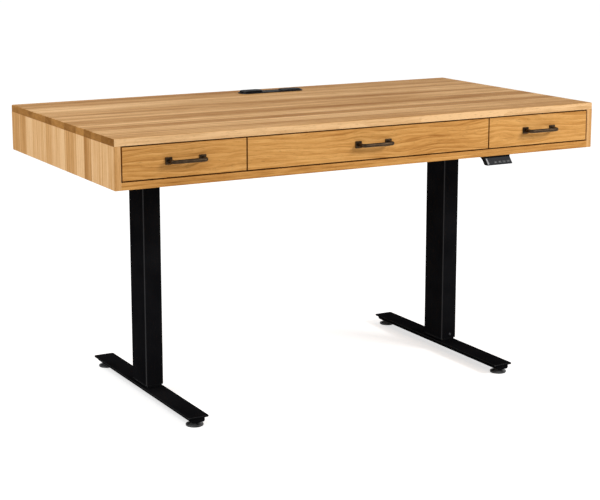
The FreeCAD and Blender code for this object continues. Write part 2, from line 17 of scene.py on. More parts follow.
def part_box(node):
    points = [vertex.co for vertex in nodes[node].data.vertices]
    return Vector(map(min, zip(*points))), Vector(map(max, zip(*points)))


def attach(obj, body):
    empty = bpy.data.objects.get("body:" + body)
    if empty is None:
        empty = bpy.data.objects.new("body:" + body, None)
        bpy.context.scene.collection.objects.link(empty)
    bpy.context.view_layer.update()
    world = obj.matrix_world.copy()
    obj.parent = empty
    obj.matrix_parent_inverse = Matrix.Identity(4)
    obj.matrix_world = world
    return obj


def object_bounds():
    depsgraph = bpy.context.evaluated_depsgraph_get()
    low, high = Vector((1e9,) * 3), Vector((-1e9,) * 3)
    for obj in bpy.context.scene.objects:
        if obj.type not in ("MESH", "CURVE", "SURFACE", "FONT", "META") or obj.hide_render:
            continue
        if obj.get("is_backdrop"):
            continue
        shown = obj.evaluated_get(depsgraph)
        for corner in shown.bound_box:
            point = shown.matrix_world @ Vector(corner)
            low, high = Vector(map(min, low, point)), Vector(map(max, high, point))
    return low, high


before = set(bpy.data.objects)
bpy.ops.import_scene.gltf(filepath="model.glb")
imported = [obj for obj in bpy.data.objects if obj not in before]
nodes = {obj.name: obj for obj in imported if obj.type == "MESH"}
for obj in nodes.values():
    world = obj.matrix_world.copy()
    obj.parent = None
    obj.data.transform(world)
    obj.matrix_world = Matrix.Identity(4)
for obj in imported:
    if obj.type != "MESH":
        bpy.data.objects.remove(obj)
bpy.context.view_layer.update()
scene = bpy.context.scene

# %% [markdown]
# ## Camera
# The picture was taken with a long lens from the left, a little above the top. A camera can be
# placed by eye or solved from corners whose places are known. Here it was solved, so that the case,
# the columns and the feet fall where the picture has them. A long lens keeps the upright edges of
# the columns nearly parallel, and a small shift of the lens takes over part of the tilt, which
# straightens them a little more.

# %% Camera
sensor_mm = 36.0
picture_width_px = 600
focal_px = 1546.14
lens_shift = -0.07
camera_place = (-2.20845, -3.94615, 1.3862)
tilt_down = 0.1923
turn_right = 0.50615
far_limit = 100

camera_data = bpy.data.cameras.new("desk_camera")
camera_data.sensor_width = sensor_mm
camera_data.lens = focal_px / picture_width_px * sensor_mm
camera_data.shift_y = lens_shift
camera_data.clip_end = far_limit
camera = bpy.data.objects.new("desk_camera", camera_data)
camera.location = camera_place
camera.rotation_euler = (math.pi / 2 - tilt_down, 0, -turn_right)
scene.collection.objects.link(camera)
scene.camera = camera
scene.view_settings.view_transform = "Standard"
print("lens", round(camera_data.lens, 1), "mm")

# %% [markdown]
# ## Node helpers
# Every finish is a tree of nodes, and a few helpers keep the trees short to write. The first two
# add a node and fill its sockets: a socket given as a value gets a link, and a plain number is
# typed in. The others do arithmetic, add two values by their shares, stretch one range onto another
# and mix colours. A mix node has a set of sockets for each kind of value, so its colour sockets are
# picked by number.

# %% Nodes, arithmetic and mixing
mix_share, mix_first, mix_second, mix_result = 0, 6, 7, 2


def fill(tree, node, sockets):
    for name, value in sockets.items():
        if isinstance(value, bpy.types.NodeSocket):
            tree.links.new(value, node.inputs[name])
        else:
            node.inputs[name].default_value = value


def add(tree, kind, sockets=None, **settings):
    made = tree.nodes.new(kind)
    for name, value in settings.items():
        setattr(made, name, value)
    fill(tree, made, sockets or {})
    return made


def calc(tree, operation, a, b=0.0):
    return add(tree, "ShaderNodeMath", {0: a, 1: b}, operation=operation).outputs[0]


def weigh(tree, first, first_share, second, second_share):
    first_part = calc(tree, "MULTIPLY", first, first_share)
    return calc(tree, "ADD", first_part, calc(tree, "MULTIPLY", second, second_share))


def between(tree, value, low, high, to_low=0.0, to_high=1.0):
    sockets = {"Value": value, "From Min": low, "From Max": high, "To Min": to_low, "To Max": to_high}
    return add(tree, "ShaderNodeMapRange", sockets).outputs[0]


def tint(tree, share, first, second):
    sockets = {mix_share: share, mix_first: first, mix_second: second}
    return add(tree, "ShaderNodeMix", sockets, data_type="RGBA").outputs[mix_result]


print("node helpers ready")

# %% [markdown]
# Noise is the raw stuff of wood and paint. Pulled long by a mapping node, the same noise turns from
# clouds into streaks. Its three repeats say how often it changes in a metre along each axis.

# %% Noise
def stretch(tree, vector, repeats):
    return add(tree, "ShaderNodeMapping", {"Vector": vector, "Scale": repeats}).outputs[0]


def noise(tree, vector, scale, detail=2.0, roughness=0.5):
    sockets = {"Vector": vector, "Scale": scale, "Detail": detail, "Roughness": roughness}
    return add(tree, "ShaderNodeTexNoise", sockets).outputs["Fac"]


def long_noise(tree, vector, repeats, detail=2.0, roughness=0.5):
    return noise(tree, stretch(tree, vector, repeats), 1.0, detail, roughness)


print("noise helpers ready")

# %% [markdown]
# Colours are written as a screen shows them, from 0 to 255. The renderer works in light, so a
# swatch undoes the screen's curve. An effect that several finishes share is a node group, which
# puts out plain values, and the last helper presses such a value into a surface as fine relief.

# %% Swatches, groups and materials
screen_white = 255
straight_part, straight_slope = 0.04045, 12.92
curve_lift, curve_power = 0.055, 2.4


def swatch(red, green, blue):
    def light(level):
        share = level / screen_white
        if share <= straight_part:
            return share / straight_slope
        return ((share + curve_lift) / (1 + curve_lift)) ** curve_power
    return (light(red), light(green), light(blue), 1.0)


def new_group(name, inputs, values):
    tree = bpy.data.node_groups.new(name, "ShaderNodeTree")
    for label, kind in inputs.items():
        tree.interface.new_socket(name=label, in_out="INPUT", socket_type=kind)
    for label in values:
        tree.interface.new_socket(name=label, in_out="OUTPUT", socket_type="NodeSocketFloat")
    return tree, tree.nodes.new("NodeGroupInput").outputs, tree.nodes.new("NodeGroupOutput")


def use_group(tree, group, sockets):
    return add(tree, "ShaderNodeGroup", sockets, node_tree=group).outputs


def new_material(name):
    material = bpy.data.materials.new(name)
    material.use_nodes = True
    tree = material.node_tree
    return material, tree, tree.nodes["Principled BSDF"]


def emboss(tree, shader, height, strength, depth):
    bump = add(tree, "ShaderNodeBump", {"Height": height, "Strength": strength, "Distance": depth})
    fill(tree, shader, {"Normal": bump.outputs[0]})


print("swatches, groups and materials ready")

# %% [markdown]
# ## Oak grain
# Oak shows its growth rings as long, gently bent lines, with fine fibres between them, short flecks
# where the rays are cut, and dark pores. A picture of wood could be wrapped round the boards, but
# it would repeat. Instead the grain is worked out in space: bands bent by noise for the rings, and
# noise pulled long for the rest. The group expects the grain to run along its own X axis, in
# metres, so one group serves boards that run any way.

# %% Oak grain group
ring_repeats = (0.045, 1.0, 0.5)
ring_bending = {
    "Scale": 20.0,
    "Distortion": 7.0,
    "Detail": 3.0,
    "Detail Scale": 0.7,
    "Detail Roughness": 0.55,
}
line_noises = {
    "Streaks": {"repeats": (1.1, 42.0, 42.0), "detail": 4.0, "roughness": 0.6},
    "Flecks": {"repeats": (16.0, 300.0, 300.0), "detail": 2.0, "roughness": 0.5},
    "Fibres": {"repeats": (7.0, 520.0, 520.0), "detail": 3.0, "roughness": 0.6},
}
pore_noise = {"repeats": (70.0, 1000.0, 1000.0), "detail": 2.0, "roughness": 0.55}
pore_limits = (0.58, 0.74)

oak_grain, grain_in, grain_out = new_group(
    "oak grain", {"Along Grain": "NodeSocketVector"}, ("Rings", "Streaks", "Flecks", "Fibres", "Pores")
)
along_grain = grain_in["Along Grain"]
ring_bands = add(
    oak_grain,
    "ShaderNodeTexWave",
    {"Vector": stretch(oak_grain, along_grain, ring_repeats), **ring_bending},
    wave_type="BANDS",
    bands_direction="Y",
    wave_profile="SAW",
)
fill(oak_grain, grain_out, {"Rings": ring_bands.outputs["Fac"]})
for label, pattern in line_noises.items():
    fill(oak_grain, grain_out, {label: long_noise(oak_grain, along_grain, **pattern)})
open_pores = between(oak_grain, long_noise(oak_grain, along_grain, **pore_noise), *pore_limits)
fill(oak_grain, grain_out, {"Pores": open_pores})
print("oak grain group:", len(oak_grain.nodes), "nodes")

# %% [markdown]
# ## Staves
# The top and the sides are glued up from staves, strips of different widths and tones. The side
# staves meet the top staves at the corner, because the maker cut both from one panel. A ramp
# without blending turns the distance across the panel into steps: its red channel holds each
# stave's tone, its green channel a shift that breaks the grain at each glue line, and its blue
# channel the tone of the stave's cut end, which drinks finish in its own way. Two more looks at the
# ramp, a quarter of a millimetre to each side, find the glue lines themselves.

# %% Stave plan
mm_per_metre = 1000
stave_widths_mm = (83, 72, 50, 59, 85, 97, 50, 106, 60, 125)
panel_depth_mm = sum(stave_widths_mm)
glue_line_half = 0.00025
shift_step = 0.618
least_shift = 0.01


def stave_plan(name, tones, end_tones):
    tree, group_in, group_out = new_group(
        name, {"Across": "NodeSocketFloat"}, ("Tone", "Shift", "End Tone", "Glue Line")
    )

    def look(offset):
        moved = calc(tree, "ADD", group_in["Across"], offset)
        place = calc(tree, "DIVIDE", moved, panel_depth_mm / mm_per_metre)
        ramp = add(tree, "ShaderNodeValToRGB", {"Fac": place})
        ramp.color_ramp.interpolation = "CONSTANT"
        stops = ramp.color_ramp.elements
        start = 0
        for number, (width, tone, end_tone) in enumerate(zip(stave_widths_mm, tones, end_tones)):
            stop = stops[0] if number == 0 else stops.new(start / panel_depth_mm)
            stop.color = (tone, (number * shift_step) % 1.0, end_tone, 1.0)
            start += width
        stops.remove(stops[-1])
        return add(tree, "ShaderNodeSeparateColor", {"Color": ramp.outputs["Color"]}).outputs

    here = look(0.0)
    before = look(-glue_line_half)["Green"]
    after = look(glue_line_half)["Green"]
    step = calc(tree, "ABSOLUTE", calc(tree, "SUBTRACT", after, before))
    fill(tree, group_out, {
        "Tone": here["Red"],
        "Shift": here["Green"],
        "End Tone": here["Blue"],
        "Glue Line": calc(tree, "GREATER_THAN", step, least_shift),
    })
    return tree


top_tones = (0.47, 0.63, 0.33, 0.69, 0.25, 0.55, 0.43, 0.59, 0.71, 0.37)
top_ends = (0.22, 0.49, 0.30, 0.71, 0.39, 0.63, 0.32, 0.53, 0.46, 0.52)
left_tones = (0.68, 0.82, 0.20, 0.86, 0.48, 0.94, 0.48, 0.74, 0.86, 0.42)
right_tones = (0.55, 0.42, 0.86, 0.74, 0.48, 0.94, 0.48, 0.86, 0.20, 0.82)
top_staves = stave_plan("top staves", top_tones, top_ends)
left_staves = stave_plan("left staves", left_tones, top_ends)
right_staves = stave_plan("right staves", right_tones, top_ends)
print("staves:", len(stave_widths_mm), "over", panel_depth_mm, "mm")

# %% [markdown]
# ## Oak finishes
# One function makes all the oak finishes. The three letters of a board's grain name the axes along
# it, across its face and through it, and the first step turns the object's axes to run with the
# board. A board can be cut from another part of the log, each stave comes from its own place in it,
# a waver bends the grain to and fro, and a fineness below one sets the lines further apart.

# %% Axes along a board
stave_jump = 9.0
bend_repeats = (3.2, 11.0, 11.0)
noise_middle = 0.5


def along_board(tree, board_axes, plan, cut_from, waver, fineness):
    along, across, through = board_axes
    across = calc(tree, "ADD", across, cut_from)
    if plan is not None:
        along = calc(tree, "ADD", along, calc(tree, "MULTIPLY", plan["Shift"], stave_jump))
        through = calc(tree, "ADD", through, plan["Shift"])
    if waver:
        straight = add(tree, "ShaderNodeCombineXYZ", {0: along, 1: across, 2: through}).outputs[0]
        bend = calc(tree, "SUBTRACT", long_noise(tree, straight, bend_repeats), noise_middle)
        across = calc(tree, "ADD", across, calc(tree, "MULTIPLY", bend, waver))
    across, through = [calc(tree, "MULTIPLY", distance, fineness) for distance in (across, through)]
    return add(tree, "ShaderNodeCombineXYZ", {0: along, 1: across, 2: through}).outputs[0]


print("grain lines of a stave start", stave_jump, "m further on for a full shift")

# %% [markdown]
# Faces cut across the grain are end grain. They drink more finish, so they come out darker,
# speckled by the pores and crossed by the arcs of the rings. On a glued-up panel the end of each
# stave has a tone of its own.

# %% End grain
speckles_per_metre = 420.0
arc_repeats = (3.0, 55.0, 120.0)
pattern_share, stave_share = 0.6, 0.42
end_limits = (0.32, 0.72)


def end_grain_tone(tree, place, board, plan):
    speckle = noise(tree, place, speckles_per_metre, detail=3.0, roughness=0.65)
    arcs = long_noise(tree, board, arc_repeats, detail=3.0)
    tone = weigh(tree, speckle, 0.5, arcs, 0.5)
    if plan is not None:
        tone = weigh(tree, tone, pattern_share, plan["End Tone"], stave_share)
    return between(tree, tone, *end_limits)


print("end grain ready")

# %% [markdown]
# A tone is a number from dark to pale. Each pattern of the wood sways it up and down by its own
# share, and a ramp turns the tone into a colour. A ramp comes with two stops, one at each end, so
# further stops are added between them.

# %% Tone helpers
def sway(tree, tone, pattern, limits, share):
    return calc(tree, "ADD", tone, between(tree, pattern, *limits, -share / 2, share / 2))


def tone_ramp(tree, tone, ramp_stops):
    ramp = add(tree, "ShaderNodeValToRGB", {"Fac": tone})
    stops = ramp.color_ramp.elements
    ready_stops = len(stops)
    for number, (position, colour) in enumerate(ramp_stops):
        stop = stops[number] if number < ready_stops else stops.new(position)
        stop.position = position
        stop.color = colour
    return ramp.outputs["Color"]


print("tone helpers ready")

# %% [markdown]
# The finish works out its tone from the stave, a slow drift, the streaks, rings, fibres and flecks. The tone
# may also carry a painted gradient of light along the desk, and faces that look one way can be made paler or
# darker by painted light and shade. The lacquer is satin, a little rougher where the pores are open, and so
# clear that it hardly shines.

# %% Oak finish function
case_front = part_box("left_side_panel")[0].y
drift_repeats = (1.6, 5.0, 5.0)
drift_limits = (0.3, 0.7)
line_limits = {"Streaks": (0.25, 0.75), "Rings": (0.0, 1.0), "Fibres": (0.25, 0.75), "Flecks": (0.34, 0.66)}
fibre_share = 0.24
facing_limits = (0.6, 0.85)
glue_line_dark = 0.3
smooth_lacquer, open_lacquer = 0.42, 0.58
lacquer_gloss = 0.004
fibre_height = 0.4
grain_strength, grain_depth = 0.25, 0.0002


def oak(
    name,
    grain,
    ramp_stops,
    end_colours,
    staves=None,
    plain_tone=0.5,
    drift=0.5,
    streak_share=0.52,
    ring_share=0.3,
    fleck_share=0.3,
    pore_dark=0.35,
    cut_from=0.0,
    waver=0.0,
    fineness=1.0,
    lengthwise_light=0.0,
    face_light_and_shade=(),
):
    material, tree, lacquer = new_material(name)
    place = add(tree, "ShaderNodeTexCoord").outputs
    axes = add(tree, "ShaderNodeSeparateXYZ", {0: place["Object"]}).outputs
    facing = add(tree, "ShaderNodeSeparateXYZ", {0: place["Normal"]}).outputs
    dark_cut, pale_cut = end_colours
    plan, tone = None, plain_tone
    if staves is not None:
        plan = use_group(tree, staves, {"Across": calc(tree, "SUBTRACT", axes["Y"], case_front)})
        tone = plan["Tone"]
    board = along_board(tree, [axes[letter] for letter in grain], plan, cut_from, waver, fineness)
    lines = use_group(tree, oak_grain, {"Along Grain": board})

    tone = sway(tree, tone, long_noise(tree, board, drift_repeats), drift_limits, drift)
    shares = {"Streaks": streak_share, "Rings": ring_share, "Fibres": fibre_share, "Flecks": fleck_share}
    for label, share in shares.items():
        tone = sway(tree, tone, lines[label], line_limits[label], share)
    # painted light and shade: an even tone gradient from one end of the desk to the other
    if lengthwise_light:
        tone = calc(tree, "ADD", tone, calc(tree, "MULTIPLY", axes[grain[0]], lengthwise_light))
    # painted light and shade: faces turned one way are made paler or darker, as light falls on them
    for (axis, way), change in face_light_and_shade:
        looking = between(tree, calc(tree, "MULTIPLY", facing[axis], way), *facing_limits)
        tone = calc(tree, "ADD", tone, calc(tree, "MULTIPLY", looking, change))

    pores = calc(tree, "MULTIPLY", lines["Pores"], pore_dark)
    colour = tint(tree, pores, tone_ramp(tree, tone, ramp_stops), dark_cut)
    if plan is not None:
        colour = tint(tree, calc(tree, "MULTIPLY", plan["Glue Line"], glue_line_dark), colour, dark_cut)
    end_colour = tint(tree, end_grain_tone(tree, place["Object"], board, plan), dark_cut, pale_cut)
    cut_end = between(tree, calc(tree, "ABSOLUTE", facing[grain[0]]), *facing_limits)
    fill(tree, lacquer, {
        "Base Color": tint(tree, cut_end, colour, end_colour),
        "Roughness": between(tree, lines["Pores"], 0.0, 1.0, smooth_lacquer, open_lacquer),
        "Specular IOR Level": lacquer_gloss,
    })
    height = calc(tree, "SUBTRACT", calc(tree, "MULTIPLY", lines["Fibres"], fibre_height), lines["Pores"])
    emboss(tree, lacquer, height, grain_strength, grain_depth)
    return material


print("case front at y", round(case_front, 4))

# %% [markdown]
# The tones are read from the real desk. The panels run from a cool brown to a pale straw, and the drawer
# fronts are a warmer honey, cut from one wide board so that the figure runs on from drawer to drawer. The
# front edge of the top gets a painted highlight that makes it its palest face, and the front edges of the
# side panels and the upward edges in the drawer gaps get painted shade, the darkest in the gaps.

# %% Oak finishes
panel_ramp = (
    (0.0, swatch(160, 108, 54)),
    (1.0, swatch(246, 201, 147)),
    (0.5, swatch(204, 155, 99)),
)
side_ramp = (
    (0.0, swatch(182, 127, 69)),
    (1.0, swatch(254, 209, 155)),
    (0.45, swatch(224, 171, 110)),
)
honey_ramp = (
    (0.0, swatch(148, 90, 34)),
    (1.0, swatch(238, 182, 110)),
    (0.5, swatch(207, 148, 80)),
)
end_grain = (swatch(120, 74, 26), swatch(212, 154, 86))
honey_end = (swatch(104, 58, 18), swatch(176, 118, 54))
forwards = ("Y", -1)
upwards = ("Z", 1)

# painted highlight on the top's front edge, and a painted gradient of light along the top
long_boards = {
    "staves": top_staves,
    "drift": 0.3,
    "streak_share": 0.74,
    "fleck_share": 0.2,
    "fineness": 0.62,
    "lengthwise_light": -0.05,
    "face_light_and_shade": [(forwards, 0.54)],
}
upright_boards = {"drift": 0.24, "streak_share": 0.6, "ring_share": 0.22, "fleck_share": 0.22}
# painted shade on the front edges of the side panels, deeper on the left
left_boards = {"staves": left_staves, "face_light_and_shade": [(forwards, -0.30)], **upright_boards}
right_boards = {"staves": right_staves, "face_light_and_shade": [(forwards, -0.15)], **upright_boards}
# painted shade on the fronts' upward faces in the drawer gaps, and a painted gradient of light along them
front_board = {
    "plain_tone": 0.61,
    "drift": 0.3,
    "streak_share": 0.42,
    "pore_dark": 0.45,
    "cut_from": 0.21,
    "waver": 0.07,
    "lengthwise_light": 0.05,
    "face_light_and_shade": [(upwards, -0.22)],
}
# painted shade on the case boards' upward faces, which sit in the drawer gaps
case_board = {"plain_tone": 0.46, "drift": 0.3, "lengthwise_light": 0.05, "face_light_and_shade": [(upwards, -0.5)]}

top_oak = oak("oak_top_staves", "XYZ", panel_ramp, end_grain, **long_boards)
left_oak = oak("oak_left_staves", "ZYX", side_ramp, end_grain, **left_boards)
right_oak = oak("oak_right_staves", "ZYX", side_ramp, end_grain, **right_boards)
front_oak = oak("oak_drawer_fronts", "XZY", honey_ramp, honey_end, **front_board)
case_oak = oak("oak_case_boards", "XZY", honey_ramp, honey_end, **case_board)
divider_oak = oak("oak_dividers", "YZX", honey_ramp, honey_end, plain_tone=0.45)
print("oak finishes: top, left and right panels, drawer fronts, case boards and dividers")

# %% [markdown]
# A CAD node arrives with a plain material of its own. Dressing it clears that slot and puts the
# finish in, and the mesh itself stays as it came.

# %% Dress the oak
drawer_names = ("left", "centre", "right")
oak_nodes = {
    "top_panel": top_oak,
    "left_side_panel": left_oak,
    "right_side_panel": right_oak,
    "bottom_panel": case_oak,
    "back_panel": case_oak,
    "left_divider": divider_oak,
    "right_divider": divider_oak,
    **{drawer + "_drawer_front": front_oak for drawer in drawer_names},
}


def dress(node_name, material):
    slots = nodes[node_name].data.materials
    slots.clear()
    slots.append(material)


for node_name, material in oak_nodes.items():
    dress(node_name, material)
print("oak on", len(oak_nodes), "nodes")

# %% [markdown]
# ## Background
# The desk stands in a white studio. The room's own light is pale and even, but what the camera
# sees, and what shows in polished metal, should be clean white. The light path node tells such rays
# from the ones that light the desk, so the backdrop can be white without flooding the desk with
# light.

# %% Studio world
white = (1, 1, 1, 1)
room_strength = 0.45
backdrop_strength = 1.0


def seen_as_backdrop(tree):
    ray = add(tree, "ShaderNodeLightPath").outputs
    seen = calc(tree, "MAXIMUM", ray["Is Camera Ray"], ray["Is Glossy Ray"])
    return calc(tree, "MAXIMUM", seen, ray["Is Transmission Ray"])


studio = bpy.data.worlds.new("studio")
scene.world = studio
studio.use_nodes = True
sky = studio.node_tree
sky.nodes.clear()
room = add(sky, "ShaderNodeBackground", {"Color": white, "Strength": room_strength}).outputs[0]
backdrop = add(sky, "ShaderNodeBackground", {"Color": white, "Strength": backdrop_strength}).outputs[0]
choice = add(sky, "ShaderNodeMixShader", {0: seen_as_backdrop(sky), 1: room, 2: backdrop})
add(sky, "ShaderNodeOutputWorld", {"Surface": choice.outputs[0]})
print("world:", len(sky.nodes), "nodes")

# %% [markdown]
# ## Floor
# The floor is a wide white sheet that keeps the soft shadow of the feet. For the camera it gets a
# little light of its own, so that the open floor reaches white and runs into the backdrop without a
# line.

# %% Floor
floor_half = 30
floor_white = (0.9, 0.9, 0.9, 1)
floor_rough = 0.9
floor_lift = 0.62


def new_object(name, mesh, material):
    mesh.materials.append(material)
    made = bpy.data.objects.new(name, mesh)
    scene.collection.objects.link(made)
    return made


sheet = bmesh.new()
bmesh.ops.create_grid(sheet, x_segments=1, y_segments=1, size=floor_half)
sheet_mesh = bpy.data.meshes.new("studio_floor")
sheet.to_mesh(sheet_mesh)
sheet.free()
floor_paint, floor_tree, floor_matt = new_material("white_floor")
fill(floor_tree, floor_matt, {"Base Color": floor_white, "Roughness": floor_rough, "Specular IOR Level": 0.0})
glow = calc(floor_tree, "MULTIPLY", seen_as_backdrop(floor_tree), floor_lift)
lift = add(floor_tree, "ShaderNodeEmission", {"Color": white, "Strength": glow})
both = add(floor_tree, "ShaderNodeAddShader", {0: floor_matt.outputs[0], 1: lift.outputs[0]})
fill(floor_tree, floor_tree.nodes["Material Output"], {"Surface": both.outputs[0]})
floor = new_object("studio_floor", sheet_mesh, floor_paint)
floor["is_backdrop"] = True
print("floor:", 2 * floor_half, "m wide")

# %% [markdown]
# ## Lamps
# Two soft lamps shape the desk: one in front to the right, which lights the drawer fronts, and a
# weaker one high on the left, which lifts the side panel and the top. A large lamp gives a soft
# shadow, and two are enough for the desk to look solid.

# %% Lamps
desk_middle = (0, 0, 0.6)
lamps = (
    {"name": "front_lamp", "place": (2.7, -3.6, 2.8), "width": 1.8, "height": 1.2, "watts": 118},
    {"name": "left_lamp", "place": (-2.8, 0.0, 3.2), "width": 2.0, "height": 2.0, "watts": 44},
)


def soft_lamp(name, place, width, height, watts):
    data = bpy.data.lights.new(name, "AREA")
    data.shape = "RECTANGLE"
    data.size = width
    data.size_y = height
    data.energy = watts
    lamp = bpy.data.objects.new(name, data)
    lamp.location = place
    lamp.rotation_euler = (Vector(desk_middle) - Vector(place)).to_track_quat("-Z", "Y").to_euler()
    scene.collection.objects.link(lamp)


for lamp_values in lamps:
    soft_lamp(**lamp_values)
print("lamps:", [lamp_values["name"] for lamp_values in lamps])

# %% [markdown]
# ## Fine texture and eased edges
# Powder coat, moulded plastic and painted motors share two effects. The first is a fine pebble texture, a
# noise small enough to soften the gloss without showing as bumps from a distance. The second finds rounded
# edges: on a flat face the normal follows one axis, and on a rounded corner it leans between two of them, so
# the products of its parts pick the corner out. There the finishes get a painted highlight, a paler colour,
# and a thin clear coat that reflects real light.

# %% Texture and edge groups
clouds_per_metre = 9.0
corner_limits = (0.36, 0.5)

fine_texture, texture_in, texture_out = new_group(
    "fine texture",
    {"Place": "NodeSocketVector", "Grains Per Metre": "NodeSocketFloat"},
    ("Grain", "Cloud"),
)
fill(fine_texture, texture_out, {
    "Grain": noise(fine_texture, texture_in["Place"], texture_in["Grains Per Metre"]),
    "Cloud": noise(fine_texture, texture_in["Place"], clouds_per_metre, detail=3.0),
})

eased_edges, edge_in, edge_out = new_group("eased edges", {"Normal": "NodeSocketVector"}, ("Edge",))
parts = add(eased_edges, "ShaderNodeSeparateXYZ", {0: edge_in["Normal"]}).outputs
leans = [calc(eased_edges, "ABSOLUTE", parts[axis]) for axis in "XYZ"]
xy, yz, zx = [calc(eased_edges, "MULTIPLY", leans[k], leans[(k + 1) % 3]) for k in range(3)]
pair_sum = calc(eased_edges, "ADD", calc(eased_edges, "ADD", xy, yz), zx)
fill(eased_edges, edge_out, {"Edge": between(eased_edges, pair_sum, *corner_limits)})
print("texture group:", len(fine_texture.nodes), "nodes, edge group:", len(eased_edges.nodes), "nodes")

# %% [markdown]
# ## Coated metal and moulded plastic
# A black desk frame in a white studio is never one flat black. The coat has a slow cloudiness, its corners
# get a painted highlight line, and its fine texture keeps the gloss low. Plastics are made the same way with
# other values, so one function makes all of them. The table gives each finish its dark, pale and painted
# corner highlight colour, its grains per metre and their depth in millimetres, its roughness and its gloss,
# and for the glides how strongly the painted corner highlight shows.

# %% Coated and moulded finishes
cloud_limits = (0.35, 0.65)
pebble_limits = (0.3, 0.7)
pebble_strength = 0.3
smoother, rougher = 0.05, 0.07
corner_coat, corner_coat_rough = 0.25, 0.3
coat_table = (
    ("black_powder_coat", (17, 17, 19), (24, 24, 26), (48, 48, 50), 1400.0, 0.08, 0.5, 0.0),
    ("motor_paint", (20, 20, 22), (28, 28, 30), (52, 52, 54), 900.0, 0.05, 0.42, 0.03),
    ("moulded_black", (14, 14, 15), (20, 20, 21), (52, 53, 55), 2200.0, 0.05, 0.48, 0.02),
    ("glide_plastic", (34, 34, 35), (46, 46, 47), (96, 97, 98), 1800.0, 0.04, 0.4, 0.12, 0.7),
    ("guide_plastic", (34, 34, 35), (42, 42, 43), (58, 58, 59), 1600.0, 0.03, 0.4, 0.05),
    ("handset_gloss", (24, 25, 27), (32, 33, 35), (44, 45, 48), 3000.0, 0.01, 0.3, 0.03),
    ("key_grey", (50, 51, 53), (60, 61, 63), (76, 77, 79), 2600.0, 0.02, 0.45, 0.04),
    ("sign_grey", (128, 129, 131), (140, 141, 143), (150, 151, 153), 2600.0, 0.01, 0.5, 0.05),
    ("edge_highlight_grey", (136, 137, 139), (150, 151, 153), (170, 171, 173), 2600.0, 0.01, 0.35, 0.1),
)


def coat(name, dark, pale, corner, grains, grain_mm, rough, gloss, corner_highlight_share=1.0):
    material, tree, shader = new_material(name)
    place = add(tree, "ShaderNodeTexCoord").outputs
    texture = use_group(tree, fine_texture, {"Place": place["Object"], "Grains Per Metre": grains})
    highlight_corners = use_group(tree, eased_edges, {"Normal": place["Normal"]})["Edge"]
    body = tint(tree, between(tree, texture["Cloud"], *cloud_limits), swatch(*dark), swatch(*pale))
    fill(tree, shader, {
        # painted highlight: the rounded corners take the paler corner colour
        "Base Color": tint(tree, calc(tree, "MULTIPLY", highlight_corners, corner_highlight_share), body, swatch(*corner)),
        "Roughness": between(tree, texture["Grain"], *pebble_limits, rough - smoother, rough + rougher),
        "Specular IOR Level": gloss,
        "Coat Weight": calc(tree, "MULTIPLY", highlight_corners, corner_highlight_share * corner_coat),
        "Coat Roughness": corner_coat_rough,
    })
    emboss(tree, shader, texture["Grain"], pebble_strength, grain_mm / mm_per_metre)
    return material


coats = {name: coat(name, *values) for name, *values in coat_table}
print("coated and moulded finishes:", len(coats))

# %% [markdown]
# The frame is powder-coated throughout, its motors are painted, the rings that guide the tubes are
# smooth nylon, and the handset and the power unit are moulded.

# %% Dress the frame, the handset and the power unit
sides = ("left", "right")
ends = ("front", "back")
key_names = ("raise_key", "lower_key", "preset_one_key", "preset_two_key")
side_parts = ("foot", "inner_tube", "middle_tube", "outer_tube", "side_bracket")
coated_nodes = {
    "black_powder_coat": [side + "_" + part for side in sides for part in side_parts]
    + [end + "_cross_rail" for end in ends],
    "motor_paint": [side + "_gear_motor" for side in sides],
    "glide_plastic": [side + "_" + end + "_glide" for side in sides for end in ends],
    "guide_plastic": ["inner_tube_rings", "middle_tube_rings", "outer_tube_rings", "screw_nuts"],
    "moulded_black": ["control_box", "handset_housing", "power_bezel", "power_sockets", "power_housing"],
    "handset_gloss": ["handset_face"],
    "key_grey": key_names,
}
for coat_name, node_names in coated_nodes.items():
    for node_name in node_names:
        dress(node_name, coats[coat_name])
    print(coat_name, "on", len(node_names), "nodes")

# %% [markdown]
# ## Bare and bronzed metal
# The pulls are dark bronze over metal: brown-black, with a warmer bloom where hands rub. The drawer
# slides are zinc-plated, drawn through rollers, so fine lines run along them. Both are metals, so
# their colour sits in the reflection, and noise in the roughness keeps it alive. The table gives
# each metal its dark and pale colour, the repeats of its drawn lines, its roughness and how far
# that spreads.

# %% Metal finishes
blooms_per_metre = 60.0
shade_limits = (0.38, 0.62)
drawn_limits = (0.3, 0.7)
drawn_strength, drawn_depth = 0.15, 0.00005
metal_table = (
    ("dark_bronze", (46, 36, 26), (70, 56, 42), (700.0, 700.0, 700.0), 0.42, 0.08),
    ("zinc_steel", (176, 178, 180), (206, 208, 210), (900.0, 12.0, 900.0), 0.34, 0.08),
    ("screw_steel", (140, 140, 142), (176, 176, 178), (900.0, 900.0, 14.0), 0.36, 0.08),
    ("black_screw", (52, 52, 54), (74, 74, 76), (600.0, 600.0, 600.0), 0.4, 0.08),
    ("brass_contact", (196, 160, 92), (220, 186, 118), (400.0, 400.0, 400.0), 0.3, 0.06),
)


def metal(name, dark, pale, repeats, rough, spread):
    material, tree, shader = new_material(name)
    place = add(tree, "ShaderNodeTexCoord").outputs["Object"]
    drawn = long_noise(tree, place, repeats, detail=3.0, roughness=0.6)
    bloom = noise(tree, place, blooms_per_metre, detail=3.0)
    shade = weigh(tree, drawn, 0.5, bloom, 0.5)
    fill(tree, shader, {
        "Base Color": tint(tree, between(tree, shade, *shade_limits), swatch(*dark), swatch(*pale)),
        "Roughness": between(tree, drawn, *drawn_limits, rough - spread, rough + spread),
        "Metallic": 1.0,
    })
    emboss(tree, shader, drawn, drawn_strength, drawn_depth)
    return material


